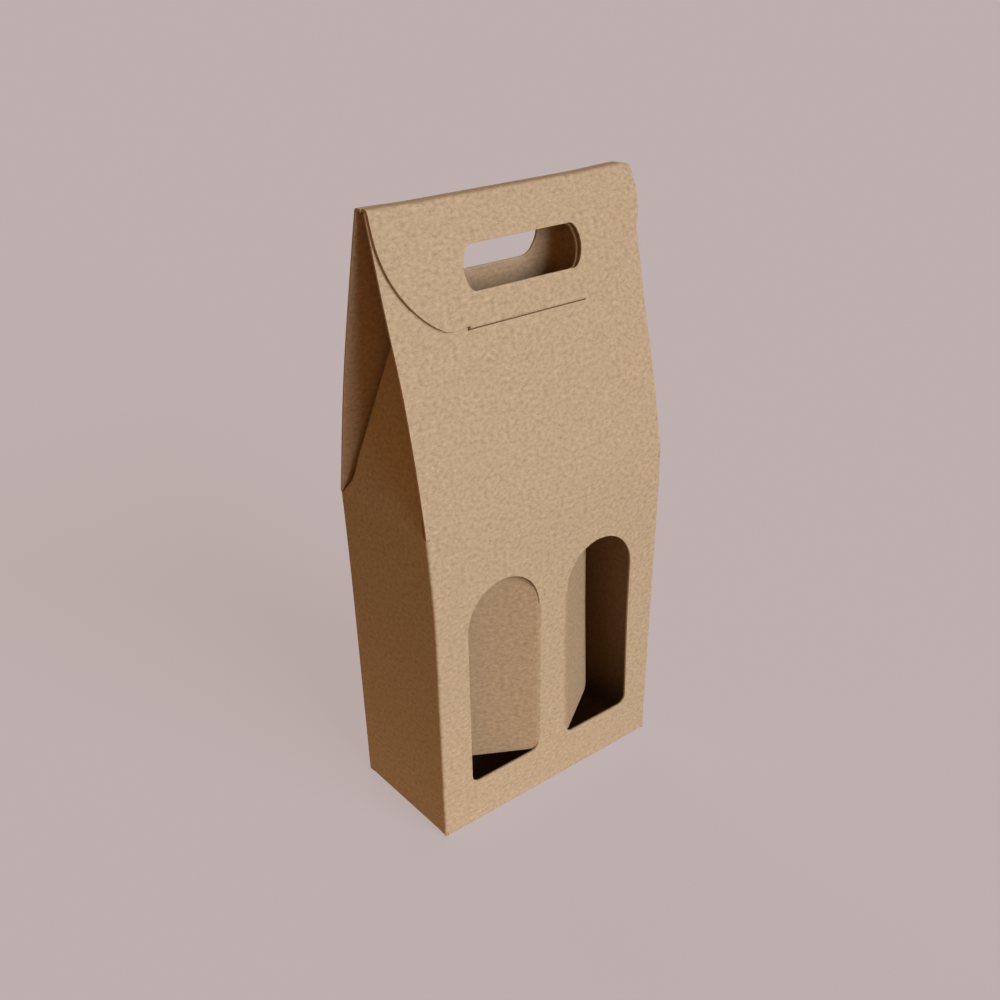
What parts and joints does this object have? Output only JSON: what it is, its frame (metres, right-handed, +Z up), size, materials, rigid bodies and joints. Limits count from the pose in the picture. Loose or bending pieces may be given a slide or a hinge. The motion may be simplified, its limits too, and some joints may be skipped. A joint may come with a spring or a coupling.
{
  "type": "two-bottle carrier box",
  "caption": "Folded kraft board carrier box for bottles, with arched front windows, inward divider flaps and a tucked handle flap with a hand hole.",
  "frame": {"origin": "centre of the base, on the surface that the box stands on", "axes": "+Z up, +X across the width, front face with the windows towards -Y"},
  "size_m": [0.18, 0.09, 0.385],
  "materials": {
    "kraft_board": "matte uncoated kraft liner"
  },
  "bodies": {
    "carton": {"carton_body": "kraft_board"},
    "handle_lid": {"handle_flap": "kraft_board"},
    "left_divider": {"window_flap_left": "kraft_board"},
    "right_divider": {"window_flap_right": "kraft_board"}
  },
  "joints": [
    {"name": "handle_flap_hinge", "type": "hinge", "parent": "carton", "child": "handle_lid", "pos_m": [0, -0.00355, 0.38425], "axis": [-1, 0, 0], "range_deg": [0, 160]},
    {"name": "left_window_flap_hinge", "type": "hinge", "parent": "carton", "child": "left_divider", "pos_m": [-0.0115, -0.04425, 0.1], "axis": [0, 0, -1], "range_deg": [-30, 60]},
    {"name": "right_window_flap_hinge", "type": "hinge", "parent": "carton", "child": "right_divider", "pos_m": [0.0115, -0.04425, 0.1], "axis": [0, 0, 1], "range_deg": [-35, 55]}
  ]
}
